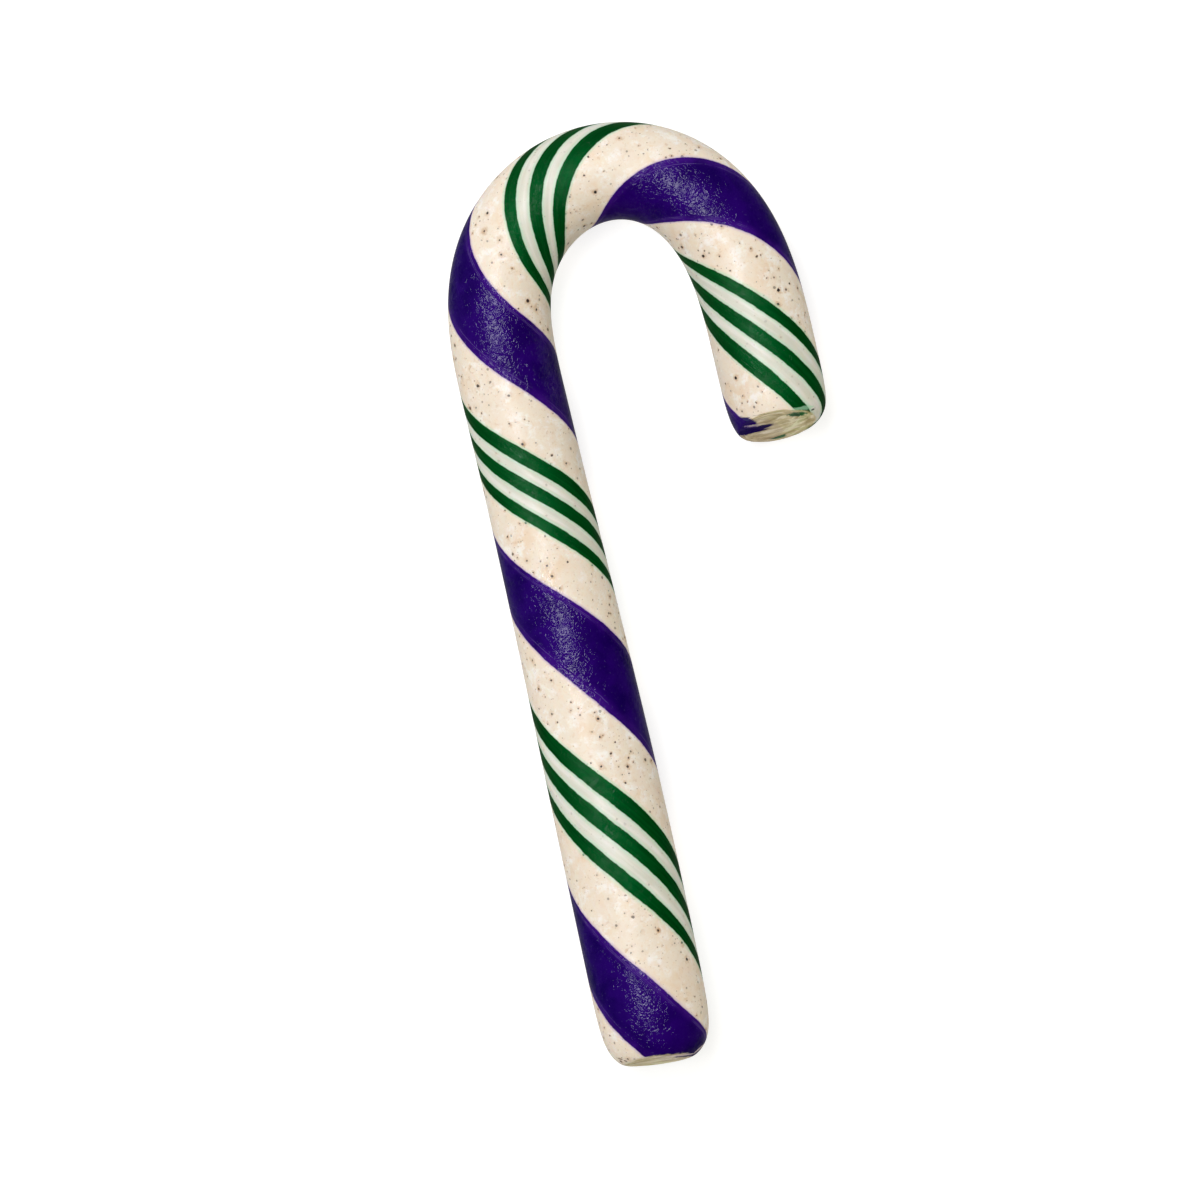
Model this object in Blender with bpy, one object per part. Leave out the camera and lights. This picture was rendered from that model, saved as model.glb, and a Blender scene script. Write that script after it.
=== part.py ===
"""Candy cane: a rope of boiled sugar, rolled round, bent to a hook and cut with shears.

The cane lies flat on its side. The stem runs along +Y from the foot to the bend, and the
hook turns towards +X, so the hook's opening faces -Y. The origin is at the middle of the
cane's box, on the surface that it lies on. All lengths are in metres.
"""

import math

import bmesh
import bpy
from mathutils import Matrix, Vector

# Places along the rope's middle line, measured from the foot
ROPE_LENGTH = 0.1986
STEM_LENGTH = 0.0997
BEND_EASE = 0.0262
CROOK_END = 0.1502
LEG_EASE = 0.0383

# Bends of the middle line: a barely bowed stem, and a hook that tightens as it turns
FOOT_HEADING = math.radians(88.9)
STEM_BOW_RADIUS = 2.8
BEND_RADIUS = 0.0202
CROOK_RADIUS = 0.0164

# Thickness: widest at the foot, thinner at the neck, thinnest over the crown
FOOT_DIAMETER = 0.01696
NECK_DIAMETER = 0.01546
TAPER_START = 0.0285
TAPER_LENGTH = 0.0685
CROWN_THINNING = 0.0008
CROWN_PLACE = 0.1468
CROWN_SPREAD = 0.0135

# Rounded ends: the distance over which each end swells to the rope's full thickness
FOOT_ROUNDING = 0.0025
TIP_ROUNDING = 0.0020

# The shears squeezed the tip askew: its last stretch turns back out of the hook
TIP_TURN = math.radians(9)
TIP_TURN_LENGTH = 0.0055

# Cuts of the shears: how far back and how high each cut leaves the rope's upper side, how
# far its face leans up, and how far it is turned in plan
FOOT_CUT_SET_BACK = 0.0018
FOOT_CUT_HEIGHT = 0.0067
FOOT_CUT_LEAN = math.radians(12)
FOOT_CUT_TURN = math.radians(-7)
TIP_CUT_SET_BACK = 0.0039
TIP_CUT_HEIGHT = 0.0070
TIP_CUT_LEAN = math.radians(21)
TIP_CUT_TURN = math.radians(2)

# The underside settled flat while the sugar was warm
FLAT_DEPTH = 0.00025

# Fineness of the mesh
RING_SIDES = 36
END_RINGS = 12
END_LENGTH = 0.0100
STEM_RING_SPACING = 0.0042
HOOK_RING_SPACING = 0.0018
WALK_STEP = 0.0002
WELD_DISTANCE = 0.000001
CUTTER_SIDE = 0.0300
TABLE_SIDE = 0.4000

SUGAR_COLOUR = (0.80, 0.70, 0.53, 1.0)
SUGAR_ROUGHNESS = 0.32


def eased(place, start, length):
    """Return 0 before start, 1 after start + length, and a smooth rise between them."""
    share = min(max((place - start) / length, 0.0), 1.0)
    return share * share * (3.0 - 2.0 * share)


def curvature(place):
    """Return the middle line's turn towards the hook at this place, in radians a metre."""
    bending = eased(place, STEM_LENGTH, BEND_EASE)
    straightening = eased(place, CROOK_END, LEG_EASE)
    full_bend = STEM_LENGTH + BEND_EASE
    tightening = eased(place, full_bend, CROOK_END - full_bend)
    hook = 1.0 / BEND_RADIUS + (1.0 / CROOK_RADIUS - 1.0 / BEND_RADIUS) * tightening
    bow = -1.0 / STEM_BOW_RADIUS
    askew = -TIP_TURN / TIP_TURN_LENGTH if place > ROPE_LENGTH - TIP_TURN_LENGTH else 0.0
    return bow * (1.0 - bending) + hook * bending * (1.0 - straightening) + askew


def rope_radius(place):
    """Return the rope's radius at this place, before its ends are rounded."""
    taper = (FOOT_DIAMETER - NECK_DIAMETER) * eased(place, TAPER_START, TAPER_LENGTH)
    crown = CROWN_THINNING * math.exp(-(((place - CROWN_PLACE) / CROWN_SPREAD) ** 2))
    return (FOOT_DIAMETER - taper - crown) / 2.0


def end_rounding(place):
    """Return the share of its radius that the rope has at this place, near 0 at both ends."""
    foot = 1.0 - math.exp(-place / FOOT_ROUNDING)
    tip = 1.0 - math.exp(-(ROPE_LENGTH - place) / TIP_ROUNDING)
    return math.sqrt(foot * tip)


def ring_places():
    """Return the rising places of the rings: close on the ends and fairly close in the hook."""
    places = [END_LENGTH * (ring / END_RINGS) ** 2 for ring in range(1, END_RINGS)]
    for start, end, spacing in (
        (END_LENGTH, STEM_LENGTH, STEM_RING_SPACING),
        (STEM_LENGTH, ROPE_LENGTH - END_LENGTH, HOOK_RING_SPACING),
    ):
        count = round((end - start) / spacing)
        places += [start + (end - start) * ring / count for ring in range(count)]
    places += [ROPE_LENGTH - END_LENGTH * (ring / END_RINGS) ** 2 for ring in range(END_RINGS, 0, -1)]
    return places


def middle_line(places):
    """Return the point and the direction of the middle line at each of the rising places."""
    walked = 0.0
    point = Vector((0.0, 0.0, 0.0))
    heading = FOOT_HEADING
    line = []
    for place in places:
        count = max(1, math.ceil((place - walked) / WALK_STEP))
        step = (place - walked) / count
        for _ in range(count):
            turn = curvature(walked + step / 2.0) * step
            along = Vector((math.cos(heading - turn / 2.0), math.sin(heading - turn / 2.0), 0.0))
            point = point + along * step
            heading -= turn
            walked += step
        direction = Vector((math.cos(heading), math.sin(heading), 0.0))
        height = Vector((0.0, 0.0, rope_radius(place) - FLAT_DEPTH))
        line.append((point + height, direction))
    return line


def rope_curve(collection):
    """Make the rope as a curve whose points carry its radius."""
    places = ring_places()
    curve = bpy.data.curves.new("rope", "CURVE")
    curve.dimensions = "3D"
    curve.twist_mode = "Z_UP"
    curve.bevel_depth = 1.0
    curve.bevel_resolution = RING_SIDES // 2 - 2
    curve.use_fill_caps = True
    spline = curve.splines.new("POLY")
    spline.points.add(len(places) - 1)
    for point, place, (centre, _) in zip(spline.points, places, middle_line(places)):
        point.co = (*centre, 1.0)
        point.radius = rope_radius(place) * end_rounding(place)
    rope = bpy.data.objects.new("rope", curve)
    collection.objects.link(rope)
    return rope


def mesh_from_curve(curve_object, name, collection):
    """Replace a curve object by a closed mesh object, with its caps welded on."""
    bpy.context.view_layer.update()
    evaluated = curve_object.evaluated_get(bpy.context.evaluated_depsgraph_get())
    mesh = bpy.data.meshes.new_from_object(evaluated)
    mesh.name = name
    shape = bmesh.new()
    shape.from_mesh(mesh)
    bmesh.ops.remove_doubles(shape, verts=shape.verts, dist=WELD_DISTANCE)
    bmesh.ops.recalc_face_normals(shape, faces=shape.faces)
    shape.to_mesh(mesh)
    shape.free()
    mesh.shade_smooth()
    body = bpy.data.objects.new(name, mesh)
    body.matrix_world = curve_object.matrix_world
    collection.objects.link(body)
    curve = curve_object.data
    bpy.data.objects.remove(curve_object)
    bpy.data.curves.remove(curve)
    return body


def box_cutter(name, face_centre, outward, side, collection):
    """Make a cube that starts at face_centre and fills what lies outward of that face."""
    bpy.ops.mesh.primitive_cube_add(size=side)
    cutter = bpy.context.active_object
    cutter.name = name
    for owner in list(cutter.users_collection):
        owner.objects.unlink(cutter)
    collection.objects.link(cutter)
    cutter.rotation_euler = outward.to_track_quat("Z", "Y").to_euler()
    cutter.location = face_centre + outward * side / 2.0
    cutter.hide_render = True
    cutter.display_type = "WIRE"
    return cutter


def shear_cutter(name, place, end_direction, height, lean, turn, collection):
    """Make the cutter whose face is the cut that the shears left at one end."""
    centre, direction = middle_line([place])[0]
    outward = Matrix.Rotation(turn, 3, "Z") @ (direction * end_direction * math.cos(lean))
    outward.z = math.sin(lean)
    return box_cutter(name, centre + Vector((0.0, 0.0, height)), outward, CUTTER_SIDE, collection)


def cut_with(body, cutter):
    """Take the cutter's volume from the body."""
    cut = body.modifiers.new(cutter.name, "BOOLEAN")
    cut.operation = "DIFFERENCE"
    cut.object = cutter


def boiled_sugar():
    """Return the material of the rope."""
    material = bpy.data.materials.new("boiled_sugar")
    material.use_nodes = True
    shader = material.node_tree.nodes["Principled BSDF"]
    shader.inputs["Base Color"].default_value = SUGAR_COLOUR
    shader.inputs["Roughness"].default_value = SUGAR_ROUGHNESS
    shader.inputs["Metallic"].default_value = 0.0
    material.diffuse_color = SUGAR_COLOUR
    return material


def centre_on_box(body, root):
    """Move the root so that the origin is under the middle of the body's box."""
    bpy.context.view_layer.update()
    evaluated = body.evaluated_get(bpy.context.evaluated_depsgraph_get())
    mesh = evaluated.to_mesh()
    across = [vertex.co.x for vertex in mesh.vertices]
    along = [vertex.co.y for vertex in mesh.vertices]
    evaluated.to_mesh_clear()
    root.location = (-(min(across) + max(across)) / 2.0, -(min(along) + max(along)) / 2.0, 0.0)


def main():
    """Build the candy cane in an empty scene."""
    for old in list(bpy.data.objects):
        bpy.data.objects.remove(old)
    parts = bpy.data.collections.new("candy_cane")
    cutters = bpy.data.collections.new("cutters")
    bpy.context.scene.collection.children.link(parts)
    bpy.context.scene.collection.children.link(cutters)

    cane = mesh_from_curve(rope_curve(parts), "candy_cane", parts)
    cane.data.materials.append(boiled_sugar())
    table = box_cutter("table", Vector((0.0, 0.0, 0.0)), Vector((0.0, 0.0, -1.0)), TABLE_SIDE, cutters)
    foot_cut = shear_cutter(
        "foot_cut", FOOT_CUT_SET_BACK, -1.0, FOOT_CUT_HEIGHT, FOOT_CUT_LEAN, FOOT_CUT_TURN, cutters
    )
    tip_cut = shear_cutter(
        "tip_cut", ROPE_LENGTH - TIP_CUT_SET_BACK, 1.0, TIP_CUT_HEIGHT, TIP_CUT_LEAN, TIP_CUT_TURN, cutters
    )
    root = bpy.data.objects.new("candy_cane_origin", None)
    parts.objects.link(root)
    for piece in (cane, table, foot_cut, tip_cut):
        piece.parent = root
    for cutter in (table, foot_cut, tip_cut):
        cut_with(cane, cutter)
    centre_on_box(cane, root)


if __name__ == "__main__":
    main()
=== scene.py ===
"""Candy cane of boiled sugar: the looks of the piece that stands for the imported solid.

The rope is built ring by ring along the same middle line and with the same thickness as the
solid. The coloured sugar is dyed into it by its place in the untwisted rope, so each stripe is
the same at any distance and from any side. Lengths are in metres, and angles in radians unless a
name or a comment says degrees.
"""

import logging
import math
from dataclasses import dataclass, field
from enum import Enum

import bpy
import numpy as np
from mathutils import Matrix, Vector


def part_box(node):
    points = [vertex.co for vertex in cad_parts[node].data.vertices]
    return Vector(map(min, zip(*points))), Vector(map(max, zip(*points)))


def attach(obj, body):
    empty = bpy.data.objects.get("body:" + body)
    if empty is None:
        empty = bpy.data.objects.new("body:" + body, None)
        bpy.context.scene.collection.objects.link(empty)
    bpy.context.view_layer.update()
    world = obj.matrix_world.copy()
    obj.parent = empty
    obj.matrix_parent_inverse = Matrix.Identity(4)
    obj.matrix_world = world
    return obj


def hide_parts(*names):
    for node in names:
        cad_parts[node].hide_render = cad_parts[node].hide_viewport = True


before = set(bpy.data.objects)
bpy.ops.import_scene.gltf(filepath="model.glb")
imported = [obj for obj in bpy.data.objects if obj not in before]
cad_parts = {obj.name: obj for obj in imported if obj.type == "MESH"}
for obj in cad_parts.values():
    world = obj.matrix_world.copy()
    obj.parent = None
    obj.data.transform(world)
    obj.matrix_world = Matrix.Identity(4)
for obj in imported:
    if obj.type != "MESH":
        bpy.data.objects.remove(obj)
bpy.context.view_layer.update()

SOLID_NAME = "candy_cane"
PIECE_NAME = "cane_sugar"
BODY_NAME = "root"
SLOT_NAME = "boiled_sugar"
BAKE_MAP = "OFBake"
SUGAR_PLACE = "sugar_place"
CUT_PLACE = "cut_place"

# How far the tip's cut places are moved aside, so that they can't be taken for the foot's
TIP_OFFSET = 0.100

ROPE_LENGTH = 0.1986

Socket = bpy.types.NodeSocket
Colour = tuple[float, float, float, float]

log = logging.getLogger("candy_cane")


def eased(place: np.ndarray, start: float, length: float) -> np.ndarray:
    """Return a smooth rise from 0 to 1.

    Args:
        place: The places to look at.
        start: Where the rise starts.
        length: How long the rise is.

    Returns:
        0 before start, 1 after start + length, and a smooth rise between them.
    """
    share = np.clip((place - start) / length, 0.0, 1.0)
    return share * share * (3.0 - 2.0 * share)


def soft_excess(depth: np.ndarray, softness: float) -> np.ndarray:
    """Return how far each depth is above 0, with the corner at 0 rounded off.

    Args:
        depth: The depths, below 0 where nothing is pressed.
        softness: The depth over which the corner is rounded, on either side of 0.

    Returns:
        0 well below 0, the depth itself well above 0, and a smooth blend between them.
    """
    near = (depth + softness) ** 2 / (4.0 * softness)
    return np.where(depth <= -softness, 0.0, np.where(depth >= softness, depth, near))


class RopeEnd(Enum):
    """The two ends of the rope."""

    FOOT = "foot"
    TIP = "tip"


@dataclass(frozen=True)
class MiddleLine:
    """The rope's middle line in plan: a barely bowed stem and a hook that tightens."""

    rope_length: float = ROPE_LENGTH
    stem_length: float = 0.0997
    bend_ease: float = 0.0262
    crook_end: float = 0.1502
    leg_ease: float = 0.0383
    foot_heading: float = math.radians(88.9)
    stem_bow_radius: float = 2.8
    bend_radius: float = 0.0202
    crook_radius: float = 0.0164
    tip_turn: float = math.radians(9)
    tip_turn_length: float = 0.0055
    foot_reach: float = 0.00025
    tip_reach: float = 0.0002
    step_count: int = 4000

    @property
    def start(self) -> float:
        """Return the place where the rope starts."""
        return -self.foot_reach

    @property
    def end(self) -> float:
        """Return the place where the rope ends."""
        return self.rope_length + self.tip_reach

    def curvature(self, place: np.ndarray) -> np.ndarray:
        """Return the line's turn towards the hook, in radians a metre.

        Args:
            place: Places along the rope, from the foot.

        Returns:
            The turn at each place.
        """
        bending = eased(place, self.stem_length, self.bend_ease)
        straightening = eased(place, self.crook_end, self.leg_ease)
        full_bend = self.stem_length + self.bend_ease
        tightening = eased(place, full_bend, self.crook_end - full_bend)
        crook = 1.0 / self.crook_radius - 1.0 / self.bend_radius
        hook = (1.0 / self.bend_radius + crook * tightening) * bending * (1.0 - straightening)
        bow = -(1.0 - bending) / self.stem_bow_radius
        askew = np.where(
            place > self.rope_length - self.tip_turn_length,
            -self.tip_turn / self.tip_turn_length,
            0.0,
        )
        return bow + hook + askew

    def walk(self, place: np.ndarray) -> tuple[np.ndarray, np.ndarray]:
        """Walk the line from its start.

        Args:
            place: Rising places along the rope.

        Returns:
            The point in plan and the heading at each place.
        """
        stops = np.linspace(self.start, self.end, self.step_count + 1)
        step = stops[1] - stops[0]
        turns = self.curvature((stops[1:] + stops[:-1]) / 2.0) * step
        headings = self.foot_heading - np.concatenate([[0.0], np.cumsum(turns)])
        middles = (headings[1:] + headings[:-1]) / 2.0
        across = np.concatenate([[0.0], np.cumsum(np.cos(middles) * step)])
        along = np.concatenate([[0.0], np.cumsum(np.sin(middles) * step)])
        points = np.stack([np.interp(place, stops, across), np.interp(place, stops, along)], axis=1)
        return points, np.interp(place, stops, headings)


@dataclass(frozen=True)
class RopeThickness:
    """The rope's thickness: widest at the foot, thinnest over the crown, round at the ends."""

    foot_diameter: float = 0.01696
    neck_diameter: float = 0.01546
    taper_start: float = 0.0285
    taper_length: float = 0.0685
    crown_thinning: float = 0.0008
    crown_place: float = 0.1468
    crown_spread: float = 0.0135
    foot_rounding: float = 0.0025
    tip_rounding: float = 0.0020
    flat_depth: float = 0.00025

    def radius(self, place: np.ndarray) -> np.ndarray:
        """Return the rope's radius before its ends are rounded.

        Args:
            place: Places along the rope, from the foot.

        Returns:
            The radius at each place.
        """
        narrowing = self.foot_diameter - self.neck_diameter
        taper = narrowing * eased(place, self.taper_start, self.taper_length)
        crown = self.crown_thinning * np.exp(-(((place - self.crown_place) / self.crown_spread) ** 2))
        return (self.foot_diameter - taper - crown) / 2.0

    def rounding(self, from_foot: np.ndarray, from_tip: np.ndarray) -> np.ndarray:
        """Return the share of its radius that the rope has near its ends.

        Args:
            from_foot: The distance of each place from the foot's end.
            from_tip: The distance of each place from the tip's end.

        Returns:
            The share at each place, 0 at both ends and 1 along the rope.
        """
        foot = 1.0 - np.exp(-np.maximum(from_foot, 0.0) / self.foot_rounding)
        tip = 1.0 - np.exp(-np.maximum(from_tip, 0.0) / self.tip_rounding)
        return np.sqrt(foot * tip)


@dataclass(frozen=True)
class Twist:
    """How the rope was twisted: gently at the foot, most at the neck, less again at the tip."""

    start_degrees: float = 24.73
    foot_rate: float = 4978.0
    neck_rate: float = 8147.0
    tip_rate: float = 2118.0
    neck_place: float = 0.105944
    foot_spread: float = 0.060757
    tip_spread: float = 0.130578
    step_count: int = 4000

    def rate(self, place: np.ndarray) -> np.ndarray:
        """Return the twist in degrees a metre.

        Args:
            place: Places along the rope, from the foot.

        Returns:
            The twist at each place.
        """
        before = place < self.neck_place
        spread = np.where(before, self.foot_spread, self.tip_spread)
        far_rate = np.where(before, self.foot_rate, self.tip_rate)
        nearness = np.exp(-(((place - self.neck_place) / spread) ** 2))
        return far_rate + (self.neck_rate - far_rate) * nearness

    def turned(self, place: np.ndarray) -> np.ndarray:
        """Return how far the rope is twisted.

        Args:
            place: Places along the rope, from the foot.

        Returns:
            The angle from the shown side to the first stripe's border, in degrees.
        """
        stops = np.linspace(min(place.min(), 0.0), place.max(), self.step_count)
        rates = self.rate(stops)
        steps = (rates[1:] + rates[:-1]) / 2.0 * np.diff(stops)
        angles = np.concatenate([[0.0], np.cumsum(steps)])
        angles += self.start_degrees - np.interp(0.0, stops, angles)
        return np.interp(place, stops, angles)


@dataclass(frozen=True)
class Sway:
    """A border's slow swing to and fro along the rope, because it was rolled by hand."""

    degrees: float
    length: float
    crest: float
    middle_degrees: float = 0.0

    def swing(self, place: np.ndarray) -> np.ndarray:
        """Return how far the border has swung.

        Args:
            place: Places along the rope, from the foot.

        Returns:
            The swing at each place, in degrees.
        """
        turn = 2.0 * math.pi * (place - self.crest) / self.length
        return self.middle_degrees + self.degrees * np.cos(turn)


@dataclass(frozen=True)
class StripeBorder:
    """A border between two colours: its sway, and its drift at each end, in degrees.

    A drift is full at its end of the rope and has faded to a third after its reach.
    """

    dye_degrees: float
    sway: Sway
    foot_drift: float
    foot_reach: float
    tip_drift: float
    tip_reach: float


PURPLE_SWAY = Sway(degrees=9.0, length=0.048, crest=0.120, middle_degrees=-3.0)
SLIGHT_SWAY = Sway(degrees=1.5, length=0.100, crest=0.120)
GREEN_SWAY = Sway(degrees=4.0, length=0.118, crest=0.050)


@dataclass(frozen=True)
class StripeLayout:
    """The borders of the coloured stripes, in the order in which they go round the rope."""

    borders: tuple[StripeBorder, ...] = (
        StripeBorder(0.0, PURPLE_SWAY, 28.0, 0.018, -23.0, 0.005),
        StripeBorder(100.0, SLIGHT_SWAY, 31.0, 0.005, -1.0, 0.005),
        StripeBorder(168.6, GREEN_SWAY, 8.0, 0.020, -8.0, 0.010),
        StripeBorder(187.3, GREEN_SWAY, 8.0, 0.013, -8.0, 0.012),
        StripeBorder(208.0, GREEN_SWAY, -2.0, 0.020, 3.0, 0.005),
        StripeBorder(228.6, GREEN_SWAY, -4.0, 0.030, 4.0, 0.004),
        StripeBorder(247.3, GREEN_SWAY, -8.0, 0.030, 12.0, 0.008),
        StripeBorder(270.6, GREEN_SWAY, -9.0, 0.040, 6.0, 0.005),
    )
    rope_length: float = ROPE_LENGTH

    def border_angles(self, place: np.ndarray) -> np.ndarray:
        """Return where each border is round the untwisted rope.

        Args:
            place: Places along the rope, from the foot.

        Returns:
            One row for each place and one column for each border, in degrees.
        """
        from_tip = self.rope_length - place
        columns = []
        for border in self.borders:
            foot = border.foot_drift * np.exp(-((place / border.foot_reach) ** 2))
            tip = border.tip_drift * np.exp(-((from_tip / border.tip_reach) ** 2))
            columns.append(border.dye_degrees + border.sway.swing(place) + foot + tip)
        return np.stack(columns, axis=1)

    def dye_angle(self, place: np.ndarray, angle: np.ndarray) -> np.ndarray:
        """Return each point's angle with the borders' sways and drifts taken out.

        Args:
            place: The place of each ring along the rope.
            angle: The untwisted angle of each point, one row for each ring, in degrees.

        Returns:
            The angle at which the point's colour stands in the even layout, in degrees.
        """
        even = np.array([border.dye_degrees for border in self.borders])
        rows = []
        for found, ring in zip(self.border_angles(place), angle):
            turn = np.floor((ring - found[0]) / 360.0) * 360.0
            known = np.append(found, found[0] + 360.0)
            meant = np.append(even, even[0] + 360.0)
            rows.append(np.interp(ring - turn, known, meant))
        return np.stack(rows)


@dataclass(frozen=True)
class ShearCut:
    """The face that the shears left across one end of the rope, with drawn-out ridges on it."""

    end: RopeEnd
    set_back: float
    rise_slope: float
    turn_slope: float
    crease_softness: float
    ridge_height: float
    ridge_spacing: float
    ridge_slope: float
    seed: int
    ridge_shares: tuple[float, ...] = (1.0, 0.55, 0.4)

    def face(self, across: np.ndarray, rise: np.ndarray) -> np.ndarray:
        """Return how far back from the end the cut face lies.

        Args:
            across: The distance from the middle line in plan.
            rise: The height above the middle line.

        Returns:
            The distance of the face from the end at each point.
        """
        flat = self.set_back + self.turn_slope * across + self.rise_slope * rise
        return flat + self.ridge_height * self.ridges(across, rise)

    def ridges(self, across: np.ndarray, rise: np.ndarray) -> np.ndarray:
        """Return the drawn-out ridges of the cut face, from about -1 to 1.

        Args:
            across: The distance from the middle line in plan.
            rise: The height above the middle line.

        Returns:
            The relief at each point.
        """
        draw = np.random.default_rng(self.seed)
        slanted = rise - self.ridge_slope * across
        relief = np.zeros_like(across)
        for share in self.ridge_shares:
            wave = draw.uniform(0.7, 1.4) * 2.0 * math.pi / (self.ridge_spacing * share)
            bend = draw.uniform(-0.25, 0.25)
            phase = draw.uniform(0.0, 2.0 * math.pi)
            relief += share * np.sin(wave * (slanted + bend * across) + phase)
        return relief / sum(self.ridge_shares)

    def press(
        self, points: np.ndarray, origin: np.ndarray, outward: np.ndarray, sideways: np.ndarray
    ) -> tuple[np.ndarray, np.ndarray]:
        """Move the points that stand out of the cut face back to it.

        Args:
            points: The points of the rope.
            origin: The end of the middle line.
            outward: The direction in which the rope ends.
            sideways: The direction across the cut.

        Returns:
            The moved points, and each point's place on the cut: across, back and depth.
        """
        away = points - origin
        across = away @ sideways
        back = -(away @ outward)
        depth = self.face(across, away[..., 2]) - back
        pressed = soft_excess(depth, self.crease_softness)
        moved = points - pressed[..., None] * outward
        return moved, np.stack([across, back + pressed, depth], axis=-1)


@dataclass(frozen=True)
class BakeStrips:
    """The bake map: the rope's skin as two strips, one above the other."""

    margin: float = 0.006
    seam_share: float = 0.5

    def map_rings(self, run: np.ndarray, girth: np.ndarray, sides: int) -> tuple[np.ndarray, int]:
        """Lay the rings out on the map.

        Args:
            run: The distance of each ring along the skin.
            girth: The distance round each ring.
            sides: The number of faces round a ring.

        Returns:
            The map's place of each ring and side, and the ring at which the second strip starts.
        """
        seam = int(np.searchsorted(run, run[-1] * self.seam_share))
        scale = (1.0 - 2.0 * self.margin) / max(run[seam] - run[0], run[-1] - run[seam])
        scale = min(scale, (0.5 - 2.0 * self.margin) / girth.max())
        turn = np.linspace(-0.5, 0.5, sides + 1)
        places = np.zeros((2, len(run), sides + 1, 2))
        for strip, first in enumerate((0, seam)):
            middle = 0.25 + 0.5 * strip
            places[strip, :, :, 0] = self.margin + (run[:, None] - run[first]) * scale
            places[strip, :, :, 1] = middle + girth[:, None] * turn[None, :] * scale
        return places, seam


@dataclass(frozen=True)
class Rise:
    """A smooth rise: low at its start, high at its end and level beyond them."""

    start: float
    end: float
    low: float = 0.0
    high: float = 1.0


@dataclass(frozen=True)
class Clouds:
    """A cloudy pattern from 0 to 1: its size, its finer clouds, and how it is drawn out."""

    size: float
    detail: float = 2.0
    rough: float = 0.5
    warp: float = 0.0
    stretch: float = 1.0


@dataclass(frozen=True)
class Pattern:
    """Clouds, and the rise that turns them into a share."""

    clouds: Clouds
    rise: Rise


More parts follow.
